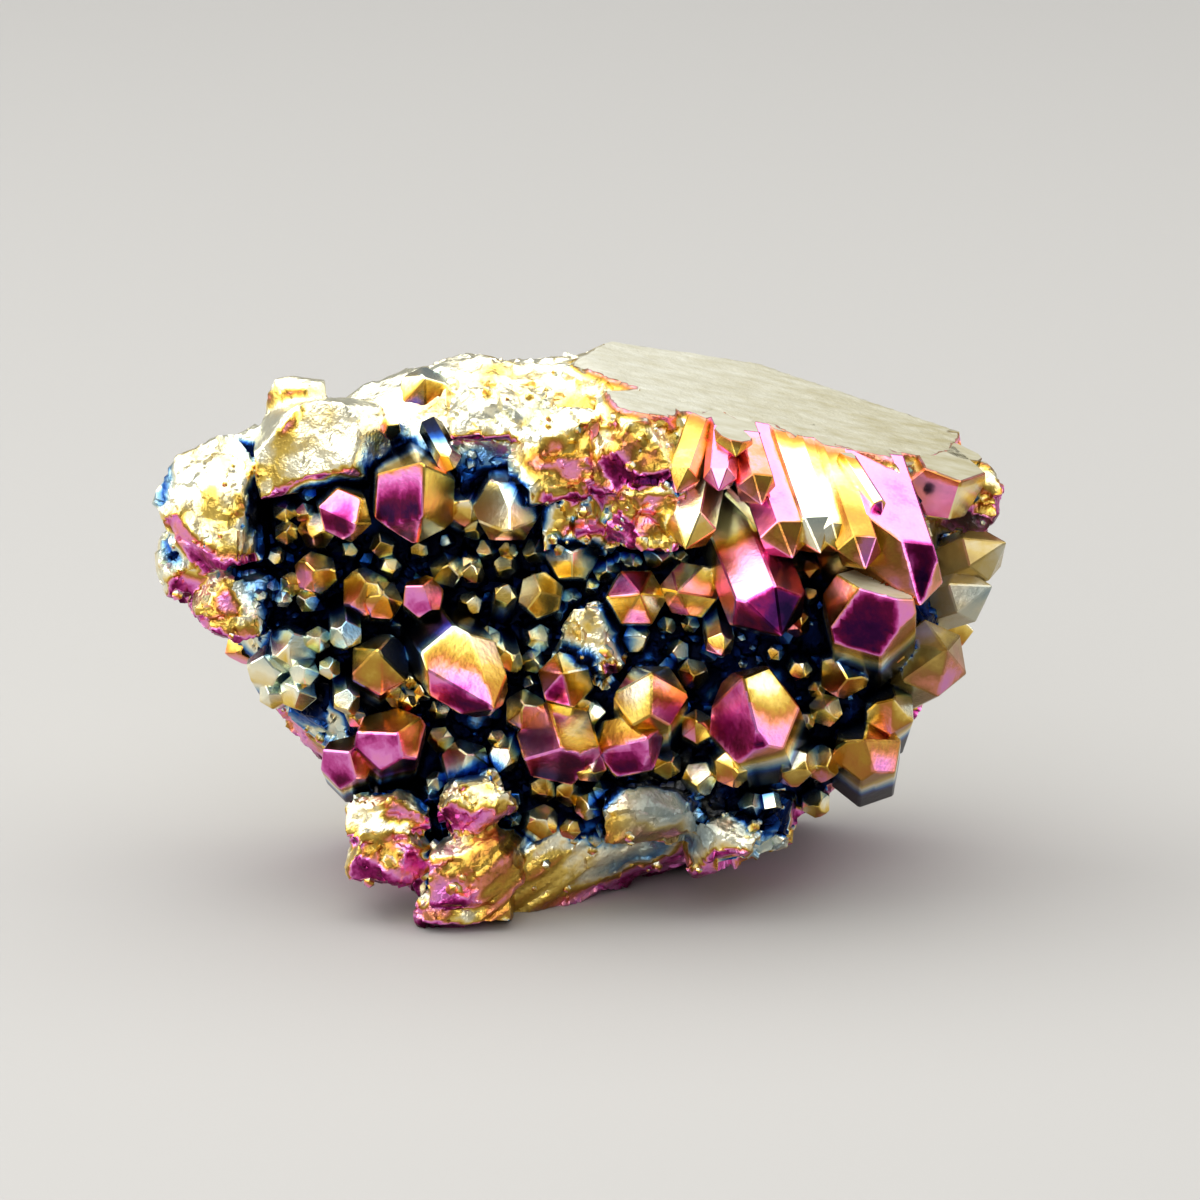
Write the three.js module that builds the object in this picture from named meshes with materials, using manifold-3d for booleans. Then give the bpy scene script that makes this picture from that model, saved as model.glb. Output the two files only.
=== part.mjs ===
// Aura quartz cluster: a piece of broken vein rock with quartz points grown over its front.
// Millimetres, +Z up. The front of the cluster faces -Y and leans back a little.
// The origin is the middle of the bounding box on the floor, and the part rests on its flat cut base.

import * as THREE from "three";
import { ConvexGeometry } from "three/addons/geometries/ConvexGeometry.js";
import { mergeVertices } from "three/addons/utils/BufferGeometryUtils.js";
import { ImprovedNoise } from "three/addons/math/ImprovedNoise.js";
import Module from "manifold-3d";

const wasm = await Module();
wasm.setup();

// ---- driving dimensions ----

// The crystal face leans back by this angle. Places on it are given as
// across (to the right), up (along the face) and out (square to the face).
const FACE_LEAN_DEG = 18;

// Moves the middle of the bounding box, at floor level, to the origin.
const SHIFT_X = 0.14;
const SHIFT_Y = -14.97;

// The rock's outline on the face, anticlockwise from the right: [across, up]. The lower corners run
// below the floor, where the base is cut, and the upper right ones run above the broken top.
const ROCK_MIDDLE = [0, 30];
const ROCK_OUTLINE = [
  [37, 30], [37.5, 40], [41, 53], [33, 62], [20, 64], [9, 61.5],
  [0, 57], [-7, 56.2], [-14.5, 56.2], [-23, 54], [-33.5, 48], [-41, 40.5],
  [-38.5, 31], [-33, 22.5], [-27, 16], [-22.5, 9], [-17.5, 0], [-10.5, -7],
  [-3.5, -2.5], [5.5, 3.6], [14, 5], [22, 10.5], [29.5, 16.5], [35, 23.5],
];
const ROCK_BACK_Y = 44;
// From the front middle to the back middle: [share of the outline, share of the depth].
const ROCK_RINGS = [
  [0, 0], [0.3, 0], [0.55, 0.004], [0.72, 0.02], [0.84, 0.05], [0.92, 0.1], [0.975, 0.2],
  [1, 0.38], [0.99, 0.6], [0.94, 0.78], [0.8, 0.91], [0.5, 0.98], [0, 1],
];
const ROCK_FRONT_OUT = 1.6;
const ROCK_FRONT_OUT_PER_ACROSS = 0.07;
const ROCK_ROUGHNESS = 0.9;
const ROCK_ROUGHNESS_SPACING = 7;

// The broken flat top slopes down to the right.
const BREAK_HEIGHT = 52.1;
const BREAK_SLOPE_DEG = 12.8;

// Planes that the back broke off along: [distance from the middle, turn, tilt].
const BACK_BREAKS = [
  [32, 100, 2],
  [38, 80, 0],
  [36.5, 125, -8],
  [47.5, 52, 4],
  [38, 93, -34],
];

// Blocky lumps: [across, up, out, half width, half height, half depth, turn].
const LUMPS = [
  [-37.6, 41.2, -3, 5.2, 6, 6.5, 20],
  [-39.4, 36.2, -5, 3.6, 3.8, 5, 0],
  [-29.3, 51.4, -3.5, 2.9, 3, 3.6, 0],
  [-33.6, 46.6, -6, 3.2, 2.6, 5, -30],
  [-26.5, 47.4, -0.5, 6.8, 4.5, 5, 8],
  [-35.4, 31.8, -3, 4, 3.6, 5, -15],
  [-20, 10, 0, 4.3, 2.2, 4.5, 0],
  [-19.8, 6.4, 0, 4, 2.6, 5, 0],
  [-11.4, 11.4, 3.2, 3.5, 3, 4, 35],
  [-11, 5.2, 3, 4.5, 3.8, 5, 0],
  [-12, 1.8, 0, 4.6, 2.2, 5, 0],
  [13.8, 7.6, -1, 3.8, 2.5, 4.5, 12],
  [6.5, 10.5, 2.5, 4.6, 3, 4, 0],
  [-3.2, 46.4, 5, 4.4, 4.4, 4, 0],
  [-0.8, 40.4, 4, 3.6, 3.8, 3.6, 0],
  [-8.6, 50.4, 4, 5, 2.4, 4, 0],
  [0.8, 27.5, 3, 3.3, 3.9, 4, -20],
  [17.8, 9.6, -2, 2.8, 3, 5, 0],
  [38.6, 42.2, -6, 2.8, 3.6, 5, 0],
  [5, 50.2, 4.5, 4, 2.6, 5, 0],
];

const LUMP_CORNERS = 18;

// Quartz points, front: [across, up, out, radius, length, lean right, lean up, twist]. The place is
// the tip's. The leans are how far the axis goes right and up for 1 outward.
const FRONT_POINTS = [
  [18.1, 33, 15, 4.9, 20, 0.2, -0.65, 0],
  [32.5, 31.6, 13.5, 4.5, 21, 0.17, -0.87, 10],
  [27, 33, 14.5, 5.2, 14, -0.17, 0.5, 20],
  [15.5, 24.3, 14, 5.7, 13, -0.28, 0.58, 5],
  [27.7, 18, 5.5, 3.8, 12, -0.12, 0.3, 12],
  [6.8, 24.3, 11, 4.2, 12, 0.05, 0.6, 30],
  [6, 18.2, 10, 3.6, 11, 0.2, 0.3, 10],
  [-4.2, 18, 10, 4.7, 13, 0, -0.1, 0],
  [-2.5, 24.6, 9, 3.1, 10, -0.1, 0.3, 15],
  [-6.2, 21.3, 6.5, 2.2, 8, 0, 0.2, 0],
  [-7.5, 24.6, 6, 1.5, 8, 0.2, -0.7, 20],
  [-9.9, 28.2, 5.5, 1.4, 6, 0, 0.2, 0],
  [-9, 20.8, 11, 4.4, 16, 0.43, -0.57, 8],
  [-18.9, 18, 9, 4.1, 12, 0.15, 0.25, 22],
  [-24.2, 17, 5.5, 2.9, 9, -0.1, 0.4, 0],
  [-27.2, 34.8, 4.5, 2.3, 8, 0, 0.1, 12],
  [-22.2, 33.6, 5.5, 2.6, 8, 0, 0.3, 0],
  [-20.2, 32.3, 6, 2.1, 7, 0.1, 0.2, 25],
  [-16.2, 33.8, 6.5, 2.5, 8, 0, 0.6, 0],
  [-14, 35.3, 4, 1.9, 6, 0, 0.2, 18],
  [-11.4, 35.9, 3.4, 0.9, 4, 0.3, 0.3, 0],
  [-4.6, 32.6, 8, 2.9, 9, 0, 0.1, 0],
  [-7.9, 33.4, 5, 1.3, 6, 0.2, 0.8, 0],
  [-1.2, 36.2, 8, 2.9, 9, 0, 0, 8],
  [6.3, 32.8, 10.5, 3.3, 12, 0.2, -0.4, 0],
  [8.9, 32.6, 10, 3, 11, -0.1, -0.1, 20],
  [-7, 43.1, 9, 3.7, 12, 0.05, 0.75, 4],
  [-11.7, 41.8, 7, 2.2, 8, 0.2, 0.2, 0],
  [-16.7, 40, 11, 4.6, 14, 0.13, -0.4, 12],
  [-23, 38.8, 7, 2.9, 10, 0.2, -0.5, 0],
  [-13.2, 44.8, 8, 1.3, 8, 0.4, -0.7, 0],
  [-19.9, 49.3, 3.2, 1.3, 6, 0, 0.1, 10],
  [-34.7, 38.8, 2.6, 3.1, 10, 0.1, -0.6, 0],
  [-30.2, 41, 2.2, 1.3, 8, 0.1, 0.1, 5],
  [-28, 40.4, 2.6, 1.1, 8, 0.2, -0.1, 15],
  [-29.2, 28.6, 3.4, 2.6, 8, 0.1, 0.5, 0],
  [-32.6, 26.2, 2.2, 2.3, 8, -0.2, 0.4, 14],
  [-26.8, 28, 3.6, 1.4, 6, 0.1, 0.1, 0],
  [-24, 27, 4.6, 1.8, 8, 0.1, -0.7, 0],
  [-28.4, 25, 3.4, 1.6, 7, 0, 0.2, 22],
  [-25.8, 25, 3.6, 1.2, 6, 0, 0, 0],
  [-29, 22.6, 3, 2, 7, 0, 0, 10],
  [-32, 22.4, 1, 1.6, 6, -0.2, 0, 0],
  [-23.9, 20.6, 4.6, 1.5, 8, 0.1, -0.6, 0],
  [-20.7, 26.8, 6, 3.3, 9, 0, 0.4, 0],
  [-11.8, 16.4, 6.5, 2.6, 8, 0.1, 0.3, 12],
  [11, 19.6, 8, 1.8, 8, 0, 0.2, 0],
  [0.5, 14.5, 8, 1.7, 7, 0.1, -0.3, 25],
  [13.5, 26.1, 8, 1.6, 10, 0.15, -0.9, 0],
  [21.3, 28.8, 8, 1.5, 7, 0.2, -0.4, 0],
  [6.8, 48.8, 9, 1.8, 9, 0, -0.6, 0],
  [7.6, 46, 9, 1.6, 10, -0.35, -0.8, 10],
  [10.3, 37.5, 12, 2.6, 19, -0.15, -1, 0],
  [12.7, 41.8, 10.5, 2, 15, -0.05, -0.95, 15],
  [8, 40.6, 10, 1.9, 9, 0.1, -0.7, 0],
  [17.8, 41.6, 10, 1.7, 13, 0.25, -1.1, 5],
  [21, 36.6, 13, 2.5, 19, 0.25, -1, 20],
  [23.9, 36.6, 12.5, 2.5, 19, 0.2, -1, 0],
  [27.8, 35.3, 13.5, 2.5, 20, 0.35, -1, 12],
  [36.8, 43.5, 5, 3.8, 12, 0.35, -0.2, 0],
  [40.4, 47.4, -1, 2, 9, 1.2, 0.1, 0],
  [42.6, 37.4, -1, 2.8, 14, 1.2, 0.5, 0],
  [41.6, 33.2, -1, 2.9, 14, 1.3, 0.4, 10],
  [36, 26.8, 6, 3.8, 12, 0.35, 0.2, 6],
  [26.1, 23.8, 8, 2.7, 8, 0.1, -0.2, 0],
  [23.9, 20.8, 6, 1.8, 6, 0, 0, 15],
  [30.6, 22.1, 4.5, 2.8, 12, 0.1, 0.4, 0],
  [19.5, 14.4, 7, 2.2, 12, -0.4, -0.3, 10],
  [24, 15.2, 4.5, 2, 12, 0.2, -0.1, 0],
  [23.2, 11, 1, 1.6, 10, 0.1, -0.2, 0],
  [-16.2, 54.2, 0, 3, 9, 0, 0.5, 0],
  [16.5, 11.2, 5, 1.5, 6, 0, 0, 20],
];

// Quartz points on the flanks and behind the top: [x, y, z, radius, length, along x, along y, along z, twist].
const SIDE_POINTS = [
  [-40.6, 17, 34, 2.2, 10, -1, -0.2, 0.1, 0],
  [-39.2, 22, 27, 2.8, 11, -1, 0.1, -0.1, 12],
  [-37, 16, 22.5, 1.9, 9, -1, -0.4, -0.2, 5],
  [-38.6, 27, 36, 2, 9, -1, 0.4, 0.3, 0],
  [39.4, 17, 24.5, 2.2, 9, 1, -0.2, 0, 0],
  [38.6, 23, 31, 2.6, 10, 1, 0.2, 0.1, 20],
  [36.6, 27, 22, 2, 9, 1, 0.4, -0.1, 0],
  [33.8, 19, 15.5, 1.9, 8, 1, -0.2, -0.4, 8],
];

// ---- geometry helpers ----

const LEAN = THREE.MathUtils.degToRad(FACE_LEAN_DEG);
const noise = new ImprovedNoise();

// A direction or place on the crystal face, turned to the part's own axes.
function fromFace(across, up, out) {
  return new THREE.Vector3(
    across,
    up * Math.sin(LEAN) - out * Math.cos(LEAN),
    up * Math.cos(LEAN) + out * Math.sin(LEAN),
  );
}

// A closed three.js geometry as a solid that booleans can join and cut.
function solidOf(geometry) {
  const bare = geometry.clone();
  bare.deleteAttribute("normal");
  bare.deleteAttribute("uv");
  const merged = mergeVertices(bare, 1e-4);
  return new wasm.Manifold(
    new wasm.Mesh({
      numProp: 3,
      vertProperties: new Float32Array(merged.attributes.position.array),
      triVerts: new Uint32Array(merged.index.array),
    }),
  );
}

// A solid's surface as a three.js geometry with flat faces.
function geometryOf(solid) {
  const mesh = solid.getMesh();
  const places = new Float32Array(mesh.numVert * 3);
  for (let i = 0; i < mesh.numVert; i++) {
    places.set(mesh.vertProperties.subarray(i * mesh.numProp, i * mesh.numProp + 3), i * 3);
  }
  const shared = new THREE.BufferGeometry();
  shared.setAttribute("position", new THREE.BufferAttribute(places, 3));
  shared.setIndex(new THREE.BufferAttribute(new Uint32Array(mesh.triVerts), 1));
  const flat = shared.toNonIndexed();
  flat.computeVertexNormals();
  return flat;
}

// A big block whose lower face lies on the plane through a place with a given outward normal.
function blockBeyond(place, normal) {
  const block = new THREE.BoxGeometry(200, 200, 100);
  block.translate(0, 0, 50);
  block.applyQuaternion(new THREE.Quaternion().setFromUnitVectors(new THREE.Vector3(0, 0, 1), normal));
  block.translate(place.x, place.y, place.z);
  return solidOf(block);
}

// ---- the rock ----

// One point of the rock's skin: a ring of the outline, drawn in towards the front and the back.
function rockPoint(direction, outline) {
  const turn = Math.atan2(direction.y, direction.x) / (2 * Math.PI);
  const corner = outline.getPoint((turn + 1) % 1);
  const row = Math.round((Math.acos(direction.z) / Math.PI) * (ROCK_RINGS.length - 1));
  const [ring, depth] = ROCK_RINGS[row];
  const across = ROCK_MIDDLE[0] + (corner.x - ROCK_MIDDLE[0]) * ring;
  const up = ROCK_MIDDLE[1] + (corner.y - ROCK_MIDDLE[1]) * ring;
  const frontOut = ROCK_FRONT_OUT + ROCK_FRONT_OUT_PER_ACROSS * across;
  const frontY = fromFace(across, up, frontOut).y;
  const y = frontY + (ROCK_BACK_Y - frontY) * depth;
  const z = (up - y * Math.sin(LEAN)) / Math.cos(LEAN);
  const s = ROCK_ROUGHNESS_SPACING;
  const bump = (shift) => ROCK_ROUGHNESS * noise.noise(across / s + shift, y / s, z / s);
  return new THREE.Vector3(across + bump(11), y + bump(23), z + bump(37));
}

function rock() {
  const outline = new THREE.CatmullRomCurve3(
    ROCK_OUTLINE.map(([across, up]) => new THREE.Vector3(across, up, 0)),
    true,
    "catmullrom",
    0.5,
  );
  const skin = new THREE.SphereGeometry(1, 48, ROCK_RINGS.length - 1);
  skin.rotateX(Math.PI / 2);
  skin.deleteAttribute("normal");
  skin.deleteAttribute("uv");
  const joined = mergeVertices(skin, 1e-4);
  const places = joined.attributes.position;
  for (let i = 0; i < places.count; i++) {
    const direction = new THREE.Vector3().fromBufferAttribute(places, i).normalize();
    const point = rockPoint(direction, outline);
    places.setXYZ(i, point.x, point.y, point.z);
  }
  return solidOf(joined);
}

// A lump with flat broken faces: the hull of points spread evenly over an uneven ball.
function lump([across, up, out, halfWidth, halfHeight, halfDepth, turn]) {
  const corners = [];
  for (let i = 0; i < LUMP_CORNERS; i++) {
    const level = 1 - (2 * i + 1) / LUMP_CORNERS;
    const around = i * Math.PI * (3 - Math.sqrt(5));
    const ring = Math.sqrt(1 - level * level);
    const corner = new THREE.Vector3(ring * Math.cos(around), ring * Math.sin(around), level);
    const uneven = noise.noise(across + 3 * corner.x, up + 3 * corner.y, out + 3 * corner.z);
    corners.push(corner.multiplyScalar(1 + 0.25 * uneven));
  }
  const block = new ConvexGeometry(corners);
  block.scale(halfWidth, halfDepth, halfHeight);
  block.rotateY(THREE.MathUtils.degToRad(-turn));
  block.rotateX(-LEAN);
  const middle = fromFace(across, up, out);
  block.translate(middle.x, middle.y, middle.z);
  return solidOf(block);
}

// ---- the quartz points ----

// A six-sided quartz point: a prism with a six-faced tip, its axis through the tip's place.
function quartzPoint(tip, axis, radius, length, twist) {
  const tipHeight = 1.1 * radius;
  const profile = [
    new THREE.Vector2(0, 0),
    new THREE.Vector2(0.92 * radius, 0),
    new THREE.Vector2(radius, length - tipHeight),
    new THREE.Vector2(0, length),
  ];
  const point = new THREE.LatheGeometry(profile, 6);
  point.rotateY(THREE.MathUtils.degToRad(twist));
  point.translate(0, -length, 0);
  point.applyQuaternion(new THREE.Quaternion().setFromUnitVectors(new THREE.Vector3(0, 1, 0), axis));
  point.translate(tip.x, tip.y, tip.z);
  return solidOf(point);
}

function frontPoint([across, up, out, radius, length, leanRight, leanUp, twist]) {
  const axis = fromFace(leanRight, leanUp, 1).normalize();
  return quartzPoint(fromFace(across, up, out), axis, radius, length, twist);
}

function sidePoint([x, y, z, radius, length, alongX, alongY, alongZ, twist]) {
  const axis = new THREE.Vector3(alongX, alongY, alongZ).normalize();
  return quartzPoint(new THREE.Vector3(x, y, z), axis, radius, length, twist);
}

// ---- breaks and the base ----

function flatBreakAbove() {
  const slope = THREE.MathUtils.degToRad(BREAK_SLOPE_DEG);
  const normal = new THREE.Vector3(Math.sin(slope), 0, Math.cos(slope));
  return blockBeyond(new THREE.Vector3(0, 0, BREAK_HEIGHT), normal);
}

function backBreak([distance, turn, tilt]) {
  const t = THREE.MathUtils.degToRad(turn);
  const e = THREE.MathUtils.degToRad(tilt);
  const normal = new THREE.Vector3(Math.cos(t) * Math.cos(e), Math.sin(t) * Math.cos(e), Math.sin(e));
  const middle = new THREE.Vector3(0, 0, 26);
  return blockBeyond(middle.addScaledVector(normal, distance), normal);
}

function floorBelow() {
  return blockBeyond(new THREE.Vector3(0, 0, 0), new THREE.Vector3(0, 0, -1));
}

// ---- the cluster ----

// Points that lean together can close off a small hollow. Only the outer skin is kept, which fills it.
function outerSkinOf(body) {
  const skins = body.decompose();
  skins.sort((a, b) => b.volume() - a.volume());
  return skins[0];
}

function cluster() {
  let body = rock();
  for (const one of LUMPS) {
    body = body.add(lump(one));
  }
  body = body.subtract(flatBreakAbove());
  for (const one of BACK_BREAKS) {
    body = body.subtract(backBreak(one));
  }
  for (const one of FRONT_POINTS) {
    body = body.add(frontPoint(one));
  }
  for (const one of SIDE_POINTS) {
    body = body.add(sidePoint(one));
  }
  return outerSkinOf(body.subtract(floorBelow()));
}

const aura = new THREE.MeshStandardMaterial({ color: 0xc79a6e, roughness: 0.28, metalness: 0.85, flatShading: true });

const group = new THREE.Group();
const whole = geometryOf(cluster());
whole.translate(SHIFT_X, SHIFT_Y, 0);
const quartzCluster = new THREE.Mesh(whole, aura);
quartzCluster.name = "quartz_cluster";
group.add(quartzCluster);

export default group;
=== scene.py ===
"""Aura quartz cluster: a broken piece of vein rock with quartz points under a rainbow metallic film."""

import math
import random

import bmesh
import bpy
from mathutils import Matrix, Vector, noise
from mathutils.bvhtree import BVHTree


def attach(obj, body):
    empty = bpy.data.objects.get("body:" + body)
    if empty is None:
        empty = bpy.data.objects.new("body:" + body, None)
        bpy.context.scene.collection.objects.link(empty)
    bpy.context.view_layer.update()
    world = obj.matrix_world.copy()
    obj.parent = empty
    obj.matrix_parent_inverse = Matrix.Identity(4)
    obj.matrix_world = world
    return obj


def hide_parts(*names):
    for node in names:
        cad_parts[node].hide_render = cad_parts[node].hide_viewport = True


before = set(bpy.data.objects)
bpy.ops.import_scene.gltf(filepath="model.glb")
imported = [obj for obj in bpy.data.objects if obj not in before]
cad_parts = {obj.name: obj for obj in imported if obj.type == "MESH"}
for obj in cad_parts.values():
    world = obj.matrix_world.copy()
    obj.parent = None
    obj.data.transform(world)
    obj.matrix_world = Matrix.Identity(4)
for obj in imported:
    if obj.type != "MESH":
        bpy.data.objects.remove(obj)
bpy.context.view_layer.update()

MM = 0.001

# ---- the cluster's own measures, in millimetres, as in the solid model ----

# The crystal face leans back. Places on it are across (right), up (along the face) and out (square to it).
FACE_LEAN = math.radians(18)
SHIFT = Vector((0.14, -14.97, 0))

ROCK_MIDDLE = (0, 30)
ROCK_OUTLINE = [
    (37, 30), (36, 40), (38.4, 52.4), (33, 62), (20, 64), (9, 61.5),
    (0, 57), (-7, 56.2), (-14.5, 56.2), (-23, 54), (-33.5, 48), (-41, 40.5),
    (-38.5, 31), (-33, 22.5), (-27, 16), (-22.5, 9), (-17.5, 0), (-10.5, -7),
    (-3.5, -2.5), (5.5, 3.6), (14, 5), (22, 10.5), (29.5, 16.5), (35, 23.5),
]
ROCK_BACK_Y = 44
# From the front middle to the back middle: share of the outline, share of the depth.
ROCK_RINGS = [
    (0, 0), (0.3, 0), (0.55, 0.004), (0.72, 0.02), (0.84, 0.05), (0.92, 0.1), (0.975, 0.2),
    (1, 0.38), (0.99, 0.6), (0.94, 0.78), (0.8, 0.91), (0.5, 0.98), (0, 1),
]
ROCK_FRONT_OUT = 1.6
ROCK_FRONT_OUT_PER_ACROSS = 0.07
# How fine the rock's mesh is, and the sharpest bend between two of its faces that still looks smooth.
ROCK_VOXEL = 0.3
ROCK_TRIANGLES = 185000
ROCK_SMOOTH = math.radians(32)
# The rock's blocky relief: how much each size of broken plane stands out, and that size.
RELIEF_BLOCKS = ((0.42, 3.6), (0.36, 1.7), (0.2, 0.9))

BREAK_HEIGHT = 52.1
BREAK_SLOPE = math.radians(12.8)
# Planes that the back broke off along: distance from the middle, which is this high, and turn and tilt.
BACK_MIDDLE_HEIGHT = 26
BACK_BREAKS = [
    (31.7, 100, 2), (37.8, 80, 0), (36.5, 125, -8), (47.5, 52, 4), (38, 93, -34),
    (37.5, 97, 27), (35.5, 116, 16), (40.5, 70, -15), (43, 62, 22), (44, 140, 10),
]

# How many corners a lump has broken off, and how far from its middle.
LUMP_BREAKS = 14
LUMP_BREAK_REACH = (0.95, 1.12)
# Blocky lumps: across, up, out, half width, half height, half depth, turn.
LUMPS = [
    (-37.6, 41.2, -3, 5.2, 6, 6.5, 20),
    (-39.4, 36.2, -5, 3.6, 3.8, 5, 0),
    (-29.3, 51.4, -3.5, 2.9, 3, 3.6, 0),
    (-33.6, 46.6, -6, 3.2, 2.6, 5, -30),
    (-26.5, 47.4, -0.5, 6.8, 4.5, 5, 8),
    (-35.4, 31.8, -3, 4, 3.6, 5, -15),
    (-20, 10, 0, 4.3, 2.2, 4.5, 0),
    (-19.8, 6.4, 0, 4, 2.6, 5, 0),
    (-11.4, 11.4, 3.2, 3.5, 3, 4, 35),
    (-11, 5.2, 2.4, 4.5, 3.8, 5, 0),
    (-12, 1.8, 0, 4.6, 2.2, 5, 0),
    (13.8, 7.6, 1.2, 3.6, 2.4, 4.5, 12),
    (6.5, 10.5, 2.5, 4.6, 3, 4, 0),
    (-3.2, 46.4, 5, 4.4, 4.4, 4, 0),
    (-0.8, 40.4, 4, 3.6, 3.8, 3.6, 0),
    (-9.8, 45.6, 2.6, 3.4, 2.6, 3, 15),
    (-8.6, 50.4, 4, 5, 2.4, 4, 0),
    (0.8, 27.5, 3, 3.3, 3.9, 4, -20),
    (17.8, 9.6, -2, 2.8, 3, 5, 0),
    (38.6, 42.2, -6, 2.8, 3.6, 5, 0),
    (5, 50.2, 4.5, 4, 2.6, 5, 0),
    (5.4, 46, 6.4, 4, 3.6, 4.4, 10),
    (6.2, 41, 5.6, 3.6, 4, 4.4, -15),
    (9.2, 41.5, 4.4, 2.8, 4, 4, 0),
    (1.2, 44.5, 4.6, 2.6, 3.6, 3.6, 10),
    (10.5, 47, 1.2, 3.4, 4.6, 4, 0),
    (15.5, 46, 0.4, 4, 5, 4, 15),
    (21.5, 44.5, 0.8, 4.6, 5.4, 4, 20),
    (27, 43, 0.8, 4.4, 5, 4, 20),
]

# The main quartz points. Each row: across, up, out of the tip; radius, length; how the axis leans right and
# up; twist; how far the shaft's middle is from under the tip, x and y; how far each of the six tip faces is
# set back, in radii, or OFF where it never grew. FULL is a tip with all six at their place.
OFF = None
FULL = (0, 0, 0, 0, 0, 0)
MAIN_POINTS = {
    "lower_middle_great": (15.5, 24.1, 12.4, 4.8, 13, -0.24, 0.5, 45, 0, -1.7, (OFF, 0, 0, 0, -0.6, 0)),
    "upper_right_lilac": (19.3, 28.2, 15, 4.2, 24, 0.36, -0.95, 8, 0.1, -0.8, FULL),
    "upper_right_pink": (33.1, 31.2, 13, 6.5, 26, 0.3, -1, 22, -2.3, -1.4, FULL),
    "upper_right_rod": (29.4, 40.5, 10.9, 0.85, 8.5, 0.75, -1.22, 0, 0, 0, FULL),
    "upper_right_glass": (20.6, 36.5, 10.6, 1, 10, 1.26, -1.28, 0, 0, 0, FULL),
    "right_maroon": (27, 33, 14.5, 4.9, 14, -0.02, 0.42, 13, 1, -0.3, (OFF, 0, OFF, 0, 0, -0.86)),
    "left_lilac": (-16.4, 40, 11, 4.5, 14, 0.1, -0.2, -2, -0.3, 1, (0, -1.4, -1.4, 0, 0, 0)),
    "left_dark": (-23, 39.4, 7, 2.7, 10, 0.15, -0.25, 15, -0.8, 0.2, (0, -0.6, 0, 0, -0.3, 0)),
    "upper_cream": (-7.7, 39, 10.6, 3.5, 13, 0.02, -0.42, -30, -0.2, 0.4, (-0.1, 0, -0.3, 0, -0.2, -0.1)),
    "middle_maroon": (-9.2, 21, 11, 4.3, 16, 0.4, -0.5, 15, -1.5, 1.5, FULL),
    "lower_left_pink": (-18.9, 18.5, 9, 3.8, 12, 0.05, 0.35, 45, -0.6, 1, (OFF, 0, OFF, 0, -0.6, 0)),
    "lower_left_dark": (-23.8, 16.6, 5.5, 2.9, 9, -0.1, 0.3, 45, -0.5, 0, (OFF, 0, OFF, 0, -0.5, 0)),
    "bottom_lilac": (-2, 17.1, 10, 4.4, 13, 0, -0.05, 18, -0.8, 0.1, (-0.5, 0.15, 0, -0.9, 0, -0.3)),
    "bottom_maroon": (6, 18, 10, 3.4, 11, 0.2, 0.1, 40, -1, -0.3, (OFF, 0, 0, 0, -0.3, 0)),
    "middle_cream": (6.4, 24.6, 11, 3.8, 12, 0, 0.6, 30, 0, -0.3, (0, 0, 0, 0, OFF, 0)),
    "middle_small": (-2.4, 24.5, 9, 2.9, 10, 0, 0.1, 15, 0.3, -0.3, (OFF, 0, 0, 0, 0, 0)),
    "right_orange": (27.7, 17.8, 5.5, 3.7, 12, 0, 0.35, 50, 0.4, 0.4, (0, 0, -0.3, 0, OFF, 0)),
    "centre_white": (9, 32.6, 10, 3, 11, -0.1, 0, 20, 1, 0.2, FULL),
    "centre_pink": (5.3, 32.4, 10.5, 3.1, 12, 0.1, 0.1, 30, 0, 0, FULL),
    "centre_gold": (-4.6, 32.6, 8, 2.4, 9, 0, 0.1, 50, 0, 0, (0, OFF, 0, OFF, 0, OFF)),
    "centre_gold_pink": (-1.5, 36.5, 8, 2.7, 9, 0, 0.1, 30, 0, 0, (OFF, 0, OFF, 0, OFF, 0)),
    "left_small_magenta": (-16.4, 33.2, 6.5, 2.2, 8, 0, 0.3, 50, 0, -0.4, (OFF, 0, OFF, 0, OFF, 0)),
    "fan_white": (9.8, 36.8, 12, 2.7, 20, -0.21, -1, 28, 0, 0, FULL),
    "fan_gold_left": (8.9, 42.4, 11, 1.9, 14, -0.35, -1, 24, 0, 0, FULL),
    "fan_pink_strip": (13.1, 42.6, 12, 1.7, 16, -0.1, -1, 30, 0, 0, FULL),
    "fan_short": (14.8, 46, 11, 1.9, 13, 0.1, -1, 25, 0, 0, FULL),
    "fan_brown": (17.4, 41.2, 11.6, 2.2, 16, 0.3, -1, 22, 0, 0, FULL),
    "fan_pink": (20.4, 35.9, 13.6, 2.7, 21, 0.33, -1, 30, 0, 0, FULL),
    "fan_cream": (23.2, 36.4, 13, 2.7, 21, 0.32, -1, 34, 0, 0, FULL),
    "fan_pitted": (25.2, 36.4, 13, 2.2, 21, 0.32, -1, 22, 0, 0, FULL),
    "fan_gold": (27.6, 34.8, 14.6, 2.4, 21, 0.31, -1, 26, 0, 0, FULL),
    "edge_block": (37.4, 43.6, 6.5, 4.2, 12, 0.3, -0.15, 28, 0.3, -0.6, (OFF, 0, OFF, 0, OFF, 0)),
    "edge_corner": (40.2, 46.8, -1, 2.2, 9, 1.2, 0.1, 0, 0, 0, FULL),
    "edge_blade_high": (42.2, 37.6, -1, 3, 14, 1.2, 0.5, 0, 0, 0, FULL),
    "edge_blade_low": (40.8, 33.2, -1, 3, 14, 1.3, 0.4, 10, 0, 0, FULL),
    "edge_round": (36, 26.8, 6, 4, 12, 0.35, 0.2, 6, 0, 0, FULL),
}

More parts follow.
